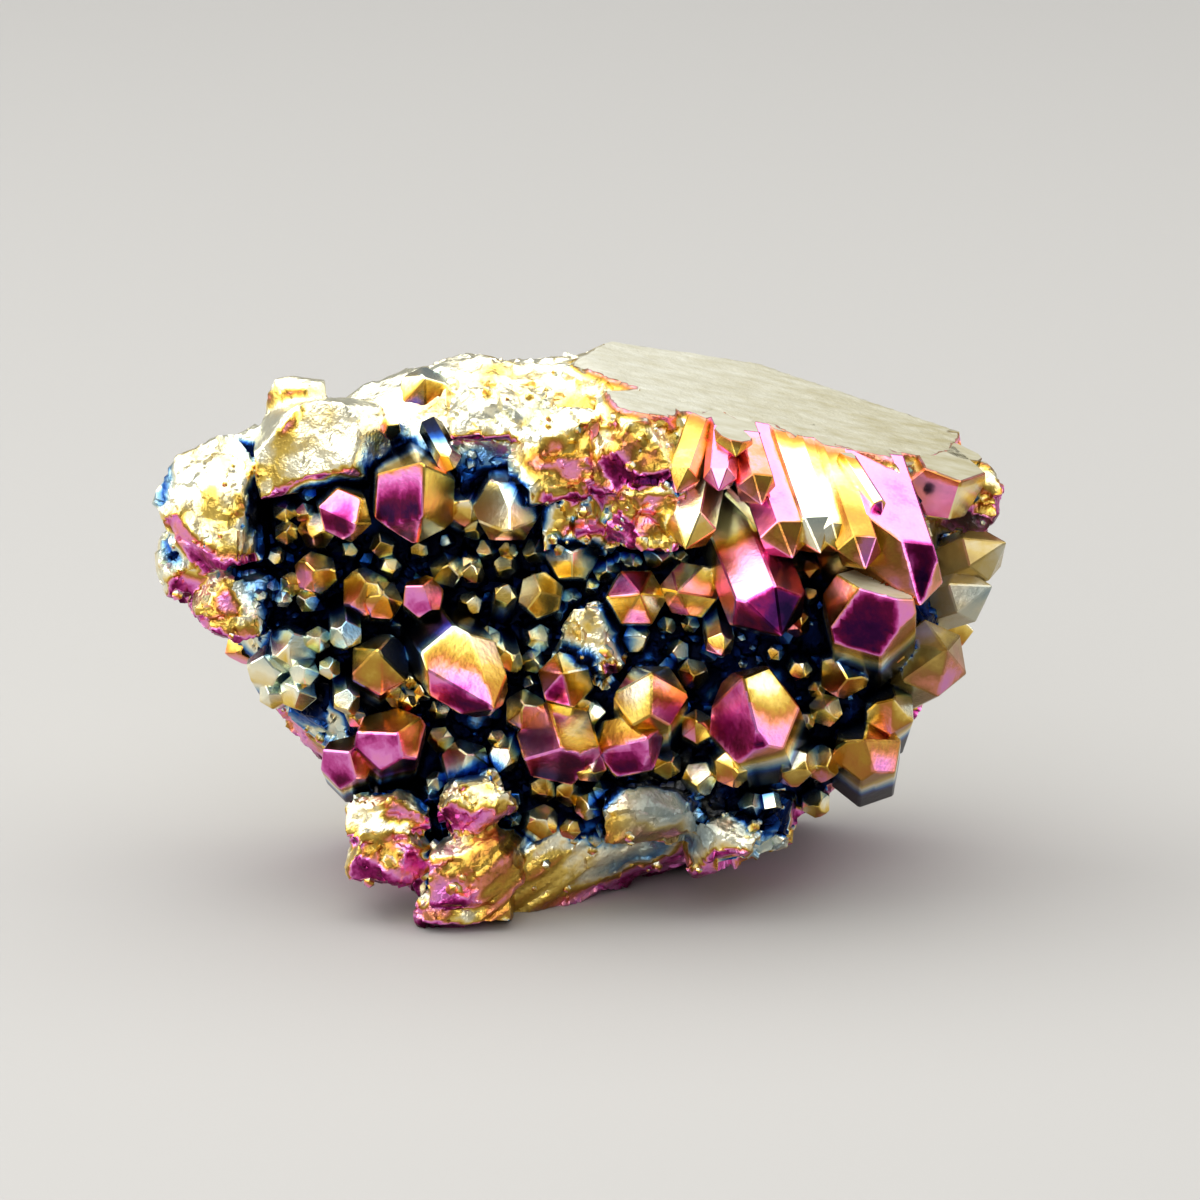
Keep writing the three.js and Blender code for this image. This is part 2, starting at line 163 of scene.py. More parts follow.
# The film's thickness on them, as its place in the series of colours: on the six tip faces, or at the top and
# the bottom of a tip face where it changes; on the sides near the tip; and on the sides further down.
# Down-turned tip faces are given thick, dark purple to maroon film: partly the film's own colour, partly
# painted shade.
MAIN_FILM = {
    "lower_middle_great": ((0.6, 0.6, 0.7, (0.79, 0.87), 0.93, (0.4, 0.76)), 0.66, 0.5),
    "upper_right_lilac": ((0.96, 0.99, 0.97, 0.9, 0.95, 0.97), 0.72, 0.43),
    "upper_right_pink": ((0.62, 0.94, 0.62, 0.6, 0.6, 0.6), 0.76, 0.72),
    "upper_right_rod": ((0.64, 0.64, 0.9, 0.9, 0.9, 0.9), 0.34, 0.4),
    "upper_right_glass": ((0.4, 0.4, 0.4, 0.5, 0.5, 0.5), 0.37, 0.35),
    "right_maroon": ((0.7, 0.36, 0.5, 0.46, (0.88, 0.96), 0.77), 0.62, 0.5),
    "left_lilac": (((0.55, 0.62), 0.5, 0.5, (0.76, 0.94), 0.9, 0.36), 0.5, 0.42),
    "left_dark": ((0.46, 0.5, 0.8, (0.86, 0.93), 0.7, (0.62, 0.7)), 0.5, 0.42),
    "upper_cream": ((0.46, (0.4, 0.48), (0.38, 0.44), (0.36, 0.44), (0.44, 0.66), (0.46, 0.7)), 0.4, 0.34),
    "middle_maroon": ((0.6, (0.46, 0.6), (0.5, 0.8), (0.78, 0.93), 0.94, 0.8), 0.5, 0.4),
    "lower_left_pink": ((0.6, 0.52, 0.6, (0.82, 0.72), 0.88, (0.52, 0.64)), 0.9, 0.6),
    "lower_left_dark": ((0.6, 0.58, 0.6, (0.78, 0.9), 0.7, 0.6), 0.74, 0.6),
    "bottom_lilac": ((0.5, (0.4, 0.5), (0.71, 0.8), 0.8, (0.86, 0.97), (0.8, 0.93)), 0.56, 0.5),
    "bottom_maroon": ((0.7, (0.5, 0.8), 0.6, (0.82, 0.9), 0.84, 0.84), 0.54, 0.5),
    "middle_cream": ((0.42, 0.38, 0.38, (0.4, 0.54), 0.6, (0.4, 0.78)), 0.6, 0.5),
    "middle_small": ((0.5, 0.4, (0.5, 0.76), (0.66, 0.84), 0.86, (0.5, 0.66)), 0.58, 0.5),
    "right_orange": ((0.52, 0.34, 0.5, (0.56, 0.64), 0.6, (0.58, 0.78)), 0.6, 0.5),
    "centre_white": ((0.42, 0.37, 0.4, (0.5, 0.84), (0.66, 0.84), (0.5, 0.66)), 0.5, 0.4),
    "centre_pink": ((0.46, 0.69, 0.76, (0.5, 0.6), (0.6, 0.8), 0.45), 0.5, 0.4),
    "centre_gold": ((0.5, 0.5, (0.36, 0.5), 0.4, (0.54, 0.62), 0.5), 0.42, 0.3),
    "centre_gold_pink": ((0.5, 0.72, 0.5, 0.51, 0.5, 0.47), 0.34, 0.3),
    "left_small_magenta": ((0.6, 0.62, 0.6, (0.76, 0.86), 0.6, (0.72, 0.84)), 0.46, 0.4),
    "fan_white": ((0.5, 0.42, 0.5, 0.6, 0.6, 0.6), 0.44, 0.4),
    "fan_gold_left": ((0.6, 0.52, 0.72, 0.8, 0.8, 0.7), 0.5, 0.46),
    "fan_pink_strip": ((0.7, 0.72, 0.72, 0.8, 0.8, 0.7), 0.72, 0.68),
    "fan_short": ((0.5, 0.42, 0.5, 0.7, 0.7, 0.7), 0.42, 0.46),
    "fan_brown": ((0.6, 0.62, 0.68, 0.7, 0.7, 0.7), 0.66, 0.56),
    "fan_pink": ((0.6, 0.6, 0.58, 0.7, 0.7, 0.7), 0.75, 0.76),
    "fan_cream": ((0.42, 0.4, 0.42, 0.5, 0.5, 0.5), 0.41, 0.43),
    "fan_pitted": ((0.42, 0.46, 0.4, 0.5, 0.5, 0.5), 0.43, 0.5),
    "fan_gold": ((0.78, 0.74, 0.6, 0.5, 0.5, 0.5), 0.56, 0.48),
    "edge_block": ((0.5, 0.44, 0.46, (0.38, 0.43), 0.5, (0.42, 0.5)), 0.47, 0.4),
    "edge_corner": ((0.3, 0.3, 0.3, 0.34, 0.3, 0.3), 0.3, 0.3),
    "edge_blade_high": ((0.52, 0.62, 0.56, 0.5, 0.46, 0.46), 0.52, 0.45),
    "edge_blade_low": ((0.4, 0.5, 0.48, 0.4, 0.34, 0.34), 0.46, 0.38),
    "edge_round": ((0.6, 0.47, (0.4, 0.5), (0.54, 0.62), 0.6, 0.72), 0.57, 0.5),
}

# Points grown together with the rock for their whole length, so that the film covers them all the way.
FUSED = ("fan_", "upper_right_", "edge_", "side_")
# How thin the film is on the points at the right edge, where the olive quartz shows through.
THIN_FILM = {"edge_corner": 0.2, "edge_blade_high": 0.55, "edge_blade_low": 0.5, "edge_round": 0.3}

# Small points that fill between them: across, up, out, radius, length, lean right, lean up, twist.
SMALL_POINTS = [
    (-6.2, 21.3, 6.5, 2.2, 8, 0, 0.2, 0),
    (-7.5, 24.6, 6, 1.5, 8, 0.2, -0.7, 20),
    (-9.9, 28.2, 5.5, 1.4, 6, 0, 0.2, 0),
    (-27.2, 34.8, 4.5, 2.3, 8, 0, 0.1, 12),
    (-22.2, 33.6, 5.5, 2.6, 8, 0, 0.3, 0),
    (-20.2, 32.3, 6, 2.1, 7, 0.1, 0.2, 25),
    (-14, 35.3, 4, 1.9, 6, 0, 0.2, 18),
    (-11.4, 35.9, 3.4, 0.9, 4, 0.3, 0.3, 0),
    (-7.9, 33.4, 5, 1.3, 6, 0.2, 0.8, 0),
    (-11.7, 41.8, 7, 2.2, 8, 0.2, 0.2, 0),
    (-13.2, 44.8, 8, 1.3, 8, 0.4, -0.7, 0),
    (-19.9, 49.3, 3.2, 1.3, 6, 0, 0.1, 10),
    (-34.7, 38.8, 2.6, 3.1, 7.5, 0.1, -0.6, 0),
    (-30.2, 41, 2.2, 1.3, 8, 0.1, 0.1, 5),
    (-28, 40.4, 2.6, 1.1, 8, 0.2, -0.1, 15),
    (-29.2, 28.6, 3.4, 2.6, 8, 0.1, 0.5, 0),
    (-32.6, 26.2, 2.2, 2.3, 8, -0.2, 0.4, 14),
    (-26.8, 28, 3.6, 1.4, 6, 0.1, 0.1, 0),
    (-24, 27, 4.6, 1.8, 8, 0.1, -0.7, 0),
    (-28.4, 25, 3.4, 1.6, 7, 0, 0.2, 22),
    (-25.8, 25, 3.6, 1.2, 6, 0, 0, 0),
    (-29, 22.6, 3, 2, 7, 0, 0, 10),
    (-32, 22.4, 1, 1.6, 6, -0.2, 0, 0),
    (-23.9, 20.6, 4.6, 1.5, 8, 0.1, -0.6, 0),
    (-20.7, 26.8, 6, 3.3, 9, 0, 0.4, 0),
    (-11.8, 16.4, 6.5, 2.6, 8, 0.1, 0.3, 12),
    (11, 19.6, 8, 1.8, 8, 0, 0.2, 0),
    (0.5, 14.5, 8, 1.7, 7, 0.1, -0.3, 25),
    (13.5, 26.1, 8, 1.6, 10, 0.15, -0.9, 0),
    (21.3, 28.8, 8, 1.5, 7, 0.2, -0.4, 0),
    (6.8, 48.8, 9, 1.8, 9, 0, -0.6, 0),
    (26.1, 23.8, 8, 2.7, 8, 0.1, -0.2, 0),
    (23.9, 20.8, 6, 1.8, 6, 0, 0, 15),
    (30.6, 22.1, 4.5, 2.8, 12, 0.1, 0.4, 0),
    (19.5, 14.4, 7, 2.2, 12, -0.4, -0.3, 10),
    (24, 15.2, 4.5, 2, 12, 0.2, -0.1, 0),
    (23.2, 11, 1, 1.6, 10, 0.1, -0.2, 0),
    (-16.2, 54.2, 0, 3, 9, 0, 0.5, 0),
    (16.5, 11.2, 5, 1.5, 6, 0, 0, 20),
    (15.2, 14.6, 8.5, 2.2, 9, 0.2, -0.2, 10),
    (11, 13.2, 7, 1.9, 8, -0.1, -0.3, 35),
    (8.4, 15.6, 6.5, 1.6, 8, 0.2, 0.1, 0),
]

# Where filling points may stand: the sides of the field, as a direction across and up and how far it goes.
FIELD_SIDES = [
    (-0.83, -0.56, 10), (0.56, -0.83, -3.5), (1, 0, 35.5), (0, 1, 44), (-1, 0, 31), (0, -1, -8),
]
FILLING_POINTS = 72
FILLING_TRIES = 6000

# Where the rock took more film: across, up, reach, how much more.
FILM_PATCHES = [
    (2, 43, 12, 0.38), (-37, 33, 6, 0.35), (-33, 44, 3, 0.3), (-17, 8, 9, 0.42),
    (15, 7, 6, -0.1), (-2, 4, 9, -0.06), (8.5, 11.5, 5, -0.2), (-10, 45.6, 4.2, -0.44),
    (38.5, 42, 6, 0.3), (-39, 44, 3, 0.2), (-30.6, 52.6, 3, 0.35),
]

# Where grey glassy quartz shows through a thin film: across, up, reach. And how much of it shows.
GLASSY = [(8.2, 11.4, 6), (38.5, 35, 6)]
GLASSY_MOST = 0.72

# Quartz points on the flanks: x, y, z, radius, length, along x, along y, along z, twist.
SIDE_POINTS = [
    (-40.6, 17, 34, 2.2, 10, -1, -0.2, 0.1, 0),
    (-39.2, 20.5, 27, 2.8, 11, -1, 0, -0.1, 12),
    (-37, 16, 22.5, 1.9, 9, -1, -0.4, -0.2, 5),
    (-38.2, 22.5, 36.5, 2, 8, -1, 0.25, 0.3, 0),
    (39.4, 17, 24.5, 2.2, 9, 1, -0.2, 0, 0),
    (38.6, 23, 31, 2.6, 10, 1, 0.2, 0.1, 20),
    (36.6, 27, 22, 2, 9, 1, 0.4, -0.1, 0),
    (33.8, 19, 15.5, 1.9, 8, 1, -0.2, -0.4, 8),
]

rng = random.Random(7)


# ---- places and directions ----

ACROSS = Vector((1, 0, 0))
UP = Vector((0, math.sin(FACE_LEAN), math.cos(FACE_LEAN)))
OUT = Vector((0, -math.cos(FACE_LEAN), math.sin(FACE_LEAN)))


def from_face(across, up, out):
    """A place or direction on the crystal face, in millimetres, as x, y and z."""
    return ACROSS * across + UP * up + OUT * out


def placed(point):
    """Millimetres in the solid model's own drawing to metres in the frame."""
    return (point + SHIFT) * MM


def closed_spline(corners, share):
    """A smooth closed curve through the corners, as in the solid model."""
    count = len(corners)
    at = (share % 1) * count
    k = int(at)
    t = at - k
    p0, p1, p2, p3 = (Vector(corners[(k + i - 1) % count]) for i in range(4))
    a = (p2 - p0) * 0.5
    b = (p3 - p1) * 0.5
    return p1 + a * t + (p2 * 3 - p1 * 3 - a * 2 - b) * t * t + (p1 * 2 - p2 * 2 + a + b) * t * t * t


def between(value, low, high):
    """0 below low, 1 above high, and smooth between."""
    t = max(0.0, min(1.0, (value - low) / (high - low)))
    return t * t * (3 - 2 * t)


# ---- meshes and objects ----

# How near a plane a vertex counts as on it: on the rock, in metres, and on a quartz point, in millimetres.
ON_ROCK_PLANE = 1e-7
ON_POINT_PLANE = 0.002


def object_of(name, bm):
    mesh = bpy.data.meshes.new(name)
    bm.to_mesh(mesh)
    bm.free()
    made = bpy.data.objects.new(name, mesh)
    bpy.context.scene.collection.objects.link(made)
    return made


def finished(obj, name):
    """A new object whose mesh has the old one's modifiers worked in. The old one is removed."""
    graph = bpy.context.evaluated_depsgraph_get()
    mesh = bpy.data.meshes.new_from_object(obj.evaluated_get(graph))
    mesh.name = name
    bpy.data.objects.remove(obj)
    made = bpy.data.objects.new(name, mesh)
    bpy.context.scene.collection.objects.link(made)
    return made


def cut_off(bm, place, normal, near=ON_ROCK_PLANE):
    """Takes off all beyond a plane and closes the cut. Vertices this near the plane count as on it."""
    geometry = bm.verts[:] + bm.edges[:] + bm.faces[:]
    bmesh.ops.bisect_plane(bm, geom=geometry, dist=near, plane_co=place, plane_no=normal, clear_outer=True)
    rim = [e for e in bm.edges if e.is_boundary]
    if rim:
        bmesh.ops.edgeloop_fill(bm, edges=rim)


def add_to(bm, other):
    """Adds one bmesh to another and frees it."""
    mesh = bpy.data.meshes.new("added")
    other.to_mesh(mesh)
    other.free()
    bm.from_mesh(mesh)
    bpy.data.meshes.remove(mesh)


def combined(objects, name, operation="UNION"):
    """The first object joined with, or cut by, all the others."""
    first, rest = objects[0], objects[1:]
    group = bpy.data.collections.new(name + "_rest")
    bpy.context.scene.collection.children.link(group)
    for o in rest:
        group.objects.link(o)
        bpy.context.scene.collection.objects.unlink(o)
    together = first.modifiers.new("Together", "BOOLEAN")
    together.operation = operation
    together.operand_type = "COLLECTION"
    together.collection = group
    together.solver = "MANIFOLD"
    made = finished(first, name)
    for o in rest:
        bpy.data.objects.remove(o)
    bpy.data.collections.remove(group)
    return made


# ---- the rock ----

def rock_point(direction):
    turn = math.atan2(direction.y, direction.x) / (2 * math.pi)
    corner = closed_spline(ROCK_OUTLINE, turn)
    row = round(math.acos(max(-1, min(1, direction.z))) / math.pi * (len(ROCK_RINGS) - 1))
    ring, depth = ROCK_RINGS[row]
    across = ROCK_MIDDLE[0] + (corner.x - ROCK_MIDDLE[0]) * ring
    up = ROCK_MIDDLE[1] + (corner.y - ROCK_MIDDLE[1]) * ring
    front_y = from_face(across, up, ROCK_FRONT_OUT + ROCK_FRONT_OUT_PER_ACROSS * across).y
    y = front_y + (ROCK_BACK_Y - front_y) * depth
    z = (up - y * math.sin(FACE_LEAN)) / math.cos(FACE_LEAN)
    return placed(Vector((across, y, z)))


def break_plane():
    """The broken top: a place on it and its direction."""
    return placed(Vector((0, 0, BREAK_HEIGHT))), Vector((math.sin(BREAK_SLOPE), 0, math.cos(BREAK_SLOPE)))


def back_planes():
    planes = []
    for distance, turn, tilt in BACK_BREAKS:
        t, e = math.radians(turn), math.radians(tilt)
        normal = Vector((math.cos(t) * math.cos(e), math.sin(t) * math.cos(e), math.sin(e)))
        planes.append((placed(Vector((0, 0, BACK_MIDDLE_HEIGHT)) + normal * distance), normal))
    return planes


def cut_by_breaks(bm):
    for place, normal in [break_plane()] + back_planes():
        cut_off(bm, place, normal)


def rock_skin():
    bm = bmesh.new()
    made = bmesh.ops.create_uvsphere(bm, u_segments=48, v_segments=len(ROCK_RINGS) - 1, radius=1)
    for v in made["verts"]:
        v.co = rock_point(v.co.normalized())
    bmesh.ops.recalc_face_normals(bm, faces=bm.faces[:])
    cut_by_breaks(bm)
    return bm


def lump(across, up, out, half_width, half_height, half_depth, turn):
    """A blocky lump of broken quartz: a block with its corners broken off along random planes."""
    bm = bmesh.new()
    bmesh.ops.create_cube(bm, size=2)
    for _ in range(LUMP_BREAKS):
        normal = Vector((rng.gauss(0, 1), rng.gauss(0, 1), rng.gauss(0, 1))).normalized()
        cut_off(bm, normal * rng.uniform(*LUMP_BREAK_REACH), normal)
    size = Matrix.Diagonal((half_width * MM, half_depth * MM, half_height * MM, 1))
    place = Matrix.Translation(placed(from_face(across, up, out)))
    lean = Matrix.Rotation(-FACE_LEAN, 4, "X")
    spin = Matrix.Rotation(math.radians(-turn), 4, "Y")
    bmesh.ops.transform(bm, matrix=place @ lean @ spin @ size, verts=bm.verts[:])
    cut_by_breaks(bm)
    return bm


def on_break(place, normal):
    """How far a place of this direction lies on the broken top, 0 or 1."""
    top, square = break_plane()
    return 1.0 if abs((place - top).dot(square)) < 0.5 * MM and normal.dot(square) > 0.85 else 0.0


def facet(place, size):
    """A height for a surface of many small tilted planes, each about size across, in millimetres."""
    at = place / (size * MM)
    middle = noise.voronoi(at)[1][0]
    tilt = noise.cell_vector(middle * 9.7) - Vector((0.5, 0.5, 0.5))
    return (at - middle).dot(tilt) * size


def relief(place, normal):
    """How far the rock's skin stands out or in here, in millimetres."""
    if on_break(place, normal):
        ribs = Vector((place.x * 0.4, place.y * 1.2, place.z * 0.4)) / MM
        return 0.12 * noise.noise(ribs * 0.35) + 0.05 * noise.noise(ribs * 1.3)
    bend = noise.noise_vector(place / (4 * MM)) * 0.5 * MM
    at = place + bend
    top, square = break_plane()
    below = between((top - place).dot(square) / MM, 0.1, 1.6)
    swell = noise.fractal(place / (7 * MM), 0.9, 2.0, 2)
    blocks = sum(height * facet(at, size) for height, size in RELIEF_BLOCKS)
    calm = 1 - 0.8 * smooth_area(place)
    fibres = fibrous(place)
    if fibres:
        ribs = fibre_place(place)
        blocks += (0.4 * noise.noise(ribs) + 0.15 * noise.noise(ribs * 2.3) - blocks) * fibres
    return (0.35 * swell + blocks * calm) * below


def fibrous(place):
    """1 on the fibrous foot at the bottom of the front, 0 elsewhere."""
    at = place / MM - SHIFT
    up = at.dot(UP)
    return between(at.x, -13, -9) * between(-at.x, -9, -5) * between(-up, -11, -8.5) * between(-at.y, -6, 0)


def fibre_place(place):
    """Coordinates that change fast across the fibres and slowly along them."""
    at = place / MM - SHIFT
    along = Vector((0.8, 0.6))
    flat = Vector((at.x, at.dot(UP)))
    return Vector((flat.cross(along) / 0.75, flat.dot(along) / 7, at.dot(OUT) / 5))


def smooth_area(place):
    """1 on the smooth blocks at the upper left, 0 elsewhere."""
    x, z = place.x / MM, place.z / MM
    return between(-x, 14, 20) * between(x, -36, -32) * between(z, 34, 40)


def rock():
    """The rock, and the shape it had before its fine relief."""
    bm = rock_skin()
    for row in LUMPS:
        add_to(bm, lump(*row))
    whole = object_of("rough_rock", bm)
    even = whole.modifiers.new("Even", "REMESH")
    even.mode = "VOXEL"
    even.voxel_size = ROCK_VOXEL * MM
    whole = finished(whole, "vein_rock")
    broad_tree = tree_of([whole])
    bm = bmesh.new()
    bm.from_mesh(whole.data)
    bm.normal_update()
    moves = [relief(v.co, v.normal) for v in bm.verts]
    for v, move in zip(bm.verts, moves):
        v.co += v.normal * move * MM
    bm.to_mesh(whole.data)
    bm.free()
    fewer = whole.modifiers.new("Fewer", "DECIMATE")
    fewer.ratio = min(1, ROCK_TRIANGLES / (2 * len(whole.data.polygons)))
    whole = finished(whole, "vein_rock")
    bm = bmesh.new()
    bm.from_mesh(whole.data)
    cut_off(bm, Vector((0, 0, 0)), Vector((0, 0, -1)))
    bmesh.ops.triangulate(bm, faces=[f for f in bm.faces if len(f.verts) > 3])
    for f in bm.faces:
        f.smooth = True
    for e in bm.edges:
        e.smooth = e.is_manifold and e.calc_face_angle() < ROCK_SMOOTH
    bm.to_mesh(whole.data)
    bm.free()
    return whole, broad_tree


# ---- quartz points ----

# The slope of a tip face, which is the same on all quartz, in the plane square to the axis.
TIP_SLOPE = math.radians(51.8)
FACES = 6
# The kinds of face on a point. A tip face's kind is its number, 0 to 5.
SIDE, EDGE, BROKEN = 6, 7, 8
KINDS = 9
# How far a face may be turned from its proper direction, as a cosine.
SAME_DIRECTION = 0.999
# The narrow flats along a point's edges: their share of the radius, and their most in millimetres.
EDGE_FLAT = 0.08
EDGE_FLAT_MOST = 0.3
# The radius from which a point counts as large, and how finely large and small points are divided.
LARGE_RADIUS = 2.6
LARGE_STEP = 0.65
SMALL_STEP = 0.8
# How far under the broken top the cut points end.
UNDER_BREAK = 0.06


def side_direction(k, twist):
    turn = math.radians(60 * k + twist)
    return Vector((math.cos(turn), math.sin(turn), 0))


def tip_direction(k, twist):
    return side_direction(k, twist) * math.sin(TIP_SLOPE) + Vector((0, 0, math.cos(TIP_SLOPE)))


def blunted(bm, width):
    """Takes a narrow flat off every edge."""
    cuts = []
    for e in bm.edges:
        one, two = (f.normal for f in e.link_faces)
        depth = width / 2 * math.tan(one.angle(two) / 2)
        out = (one + two).normalized()
        cuts.append(((e.verts[0].co + e.verts[1].co) / 2 - out * depth, out))
    for place, normal in cuts:
        cut_off(bm, place, normal, ON_POINT_PLANE)


def quartz_point(radius, length, twist, shift_x, shift_y, set_back, others=()):
    """One six-sided point in millimetres, its tip up at the origin, cut by any other planes as well."""
    bm = bmesh.new()
    tall = length + radius
    middle = Matrix.Translation((shift_x, shift_y, radius - tall / 2))
    turn = Matrix.Rotation(math.radians(twist), 4, "Z")
    bmesh.ops.create_cone(
        bm, cap_ends=True, segments=FACES, radius1=radius, radius2=radius, depth=tall, matrix=middle @ turn
    )
    for k, back in enumerate(set_back):
        if back is not OFF:
            cut_off(bm, Vector((0, 0, -radius * back)), tip_direction(k, twist), ON_POINT_PLANE)
    for place, normal in others:
        cut_off(bm, place, normal, ON_POINT_PLANE)
    bmesh.ops.remove_doubles(bm, verts=bm.verts[:], dist=0.02)
    bm.normal_update()
    blunted(bm, min(EDGE_FLAT * radius, EDGE_FLAT_MOST))
    return bm


def gridded(bm, step):
    """Splits the faces along a grid, so that relief and film can vary over them."""
    for axis in range(3):
        square = Vector((axis == 0, axis == 1, axis == 2))
        places = [v.co[axis] for v in bm.verts]
        for i in range(1, int((max(places) - min(places)) / step) + 1):
            geometry = bm.verts[:] + bm.edges[:] + bm.faces[:]
            place = square * (min(places) + step * (i - 0.3))
            bmesh.ops.bisect_plane(bm, geom=geometry, dist=0.01, plane_co=place, plane_no=square)
    bmesh.ops.triangulate(bm, faces=bm.faces[:])


def point_rows():
    """Every quartz point as: name, place of the tip, frame of the axis, and its measures."""
    rows = []
    for name, row in MAIN_POINTS.items():
        across, up, out, radius, length, right, lean_up, twist, shift_x, shift_y, set_back = row
        measures = radius, length, twist, shift_x, shift_y, set_back
        rows.append((name, placed(from_face(across, up, out)), face_frame(right, lean_up), measures))
    for i, row in enumerate(SMALL_POINTS + filling_points()):
        across, up, out, radius, length, right, lean_up, twist = row
        measures = radius, length, twist, 0, 0, uneven_tip()
        tip = placed(from_face(across, up, out))
        rows.append(("small_%d" % i, tip, face_frame(right, lean_up), measures))
    for i, (x, y, z, radius, length, *axis, twist) in enumerate(SIDE_POINTS):
        axes = Vector(axis).to_track_quat("Z", "Y").to_matrix()
        measures = radius, length, twist, 0, 0, uneven_tip()
        rows.append(("side_%d" % i, placed(Vector((x, y, z))), axes, measures))
    return rows


def filling_points():
    """Small points on the ground still free between the others, as rows like those of the small points."""
    taken = [row[:7] for row in list(MAIN_POINTS.values()) + SMALL_POINTS]
    found = []
    for _ in range(FILLING_TRIES):
        if len(found) == FILLING_POINTS:
            break
        across, up = rng.uniform(-31, 36), rng.uniform(6, 44)
        radius = 0.9 + 1.4 * rng.random() ** 1.3
        ground = ROCK_FRONT_OUT + ROCK_FRONT_OUT_PER_ACROSS * across
        if any(across * right + up * high > far for right, high, far in FIELD_SIDES):
            continue
        if any(covers(row, across, up, radius) for row in LUMPS):
            continue
        if any(too_near(row, across, up, radius, ground) for row in taken):
            continue
        out = ground + rng.uniform(1.1, 2) * radius + rng.uniform(0, 1.4)
        place = across, up, out, radius, out - ground + 3
        lean = rng.gauss(0, 0.25), rng.gauss(-0.1, 0.25)
        taken.append(place + lean)
        found.append(place + lean + (rng.uniform(0, 60),))
    return found


def covers(lump_row, across, up, radius):
    """Whether a lump stands here."""
    there, high, _, half_width, half_height = lump_row[:5]
    wide, tall = half_width + 0.3 * radius, half_height + 0.3 * radius
    return ((across - there) / wide) ** 2 + ((up - high) / tall) ** 2 < 1


def too_near(point_row, across, up, radius, ground):
    """Whether another point's tip or foot is too near."""
    there, high, out, other, _, right, lean_up = point_row
    foot = max(0, out - ground)
    for share in (0.25, 0.6, 1):
        away = math.hypot(across - there + right * foot * share, up - high + lean_up * foot * share)
        if away < 0.72 * other + 0.8 * radius:
            return True
    return False


def uneven_tip():
    """Set-backs for a natural tip: three faces large, the three between them small."""
    large = rng.randrange(2)
    return tuple(rng.uniform(0, 0.2) if k % 2 == large else rng.uniform(-0.35, 0.05) for k in range(FACES))


def face_frame(right, lean_up):
    """The directions of a point's own x, y and z, where z is its axis and y is up along the crystal face."""
    z = from_face(right, lean_up, 1).normalized()
    x = UP.cross(z).normalized()
    return Matrix((x, z.cross(x), z)).transposed()


def crystal(number, tip, axes, measures):
    """One quartz point in its place. Its faces know the number of their point and what kind they are."""
    matrix = Matrix.Translation(tip) @ axes.to_4x4() @ Matrix.Scale(MM, 4)
    top, square = break_plane()
    above = axes.transposed() @ square
    bm = quartz_point(*measures, others=[(matrix.inverted() @ (top - square * UNDER_BREAK * MM), above)])
    gridded(bm, LARGE_STEP if measures[0] > LARGE_RADIUS else SMALL_STEP)
    bm.normal_update()
    owner = bm.faces.layers.float.new("number")
    kind = bm.faces.layers.float.new("kind")
    for f in bm.faces:
        f[owner] = number
        f[kind] = BROKEN if f.normal.dot(above) > SAME_DIRECTION else kind_of_face(f.normal, measures[2])
    bmesh.ops.transform(bm, matrix=matrix, verts=bm.verts[:])
    return object_of("point_%03d" % number, bm)


def kind_of_face(normal, twist):
    for k in range(FACES):
        if normal.dot(tip_direction(k, twist)) > SAME_DIRECTION:
            return k
        if normal.dot(side_direction(k, twist)) > SAME_DIRECTION:
            return SIDE
    return EDGE


def points(rows, chosen, name):
    made = [crystal(n, row[1], row[2], row[3]) for n, row in enumerate(rows) if chosen(row)]
    return combined(made, name)


# ---- drusy grains ----

# How much a grain leans at random, how far its foot is under the rock and how tall its tip is, in its radii.
GRAIN_LEAN = 0.4
GRAIN_FOOT = 0.5
GRAIN_TIP = 0.75
GRAINS_A_BATCH = 100


def loose_vector(own):
    return Vector((own.gauss(0, GRAIN_LEAN), own.gauss(0, GRAIN_LEAN), own.gauss(0, GRAIN_LEAN)))


def grain_spot(tree, weight, own):
    """A place on the rock, as met from in front, that the weight allows, and its direction."""
    while True:
        start = placed(from_face(own.uniform(-44, 44), own.uniform(-10, 60), 60))
        place, normal = tree.ray_cast(start, loose_vector(own) - OUT)[:2]
        if place is not None and own.random() < weight(place, normal):
            return place, normal


def druse(tree, count, weight, smallest, largest, name):
    """Tiny quartz points grown on the rock where the weight says. Each finds its place with its own seed."""
    seeds = [rng.random() for _ in range(count)]
    whole = bmesh.new()
    batch = bmesh.new()
    for i, seed in enumerate(seeds):
        place, normal = grain_spot(tree, weight, random.Random(seed))
        tilt = loose_vector(rng)
        turn = (normal + tilt).normalized().to_track_quat("Z", "Y").to_matrix().to_4x4()
        size = smallest + (largest - smallest) * rng.random() ** 2
        spin = Matrix.Rotation(rng.uniform(0, math.pi), 4, "Z")
        matrix = Matrix.Translation(place) @ turn @ spin @ Matrix.Scale(size * MM, 4)
        add_grain(batch, matrix, rng.uniform(0.2, 1.1))
        if i % GRAINS_A_BATCH == GRAINS_A_BATCH - 1 or i == count - 1:
            add_to(whole, batch)
            batch = bmesh.new()
    batch.free()
    return object_of(name, whole)


def add_grain(bm, matrix, tall):
    """A six-sided point of radius 1, its foot below the surface."""
    foot = Matrix.Translation((0, 0, (tall - GRAIN_FOOT) / 2))
    bmesh.ops.create_cone(
        bm, cap_ends=True, segments=FACES, radius1=1, radius2=1, depth=tall + GRAIN_FOOT, matrix=matrix @ foot
    )
    bm.verts.ensure_lookup_table()
    rim = [v for v in bm.verts[-2 * FACES:] if (matrix.inverted() @ v.co).z > tall / 2]
    top = [f for f in rim[0].link_faces if all(v in rim for v in f.verts)]
    tip = bmesh.ops.poke(bm, faces=top)["verts"]
    bmesh.ops.translate(bm, verts=tip, vec=matrix.to_3x3() @ Vector((0, 0, GRAIN_TIP)))


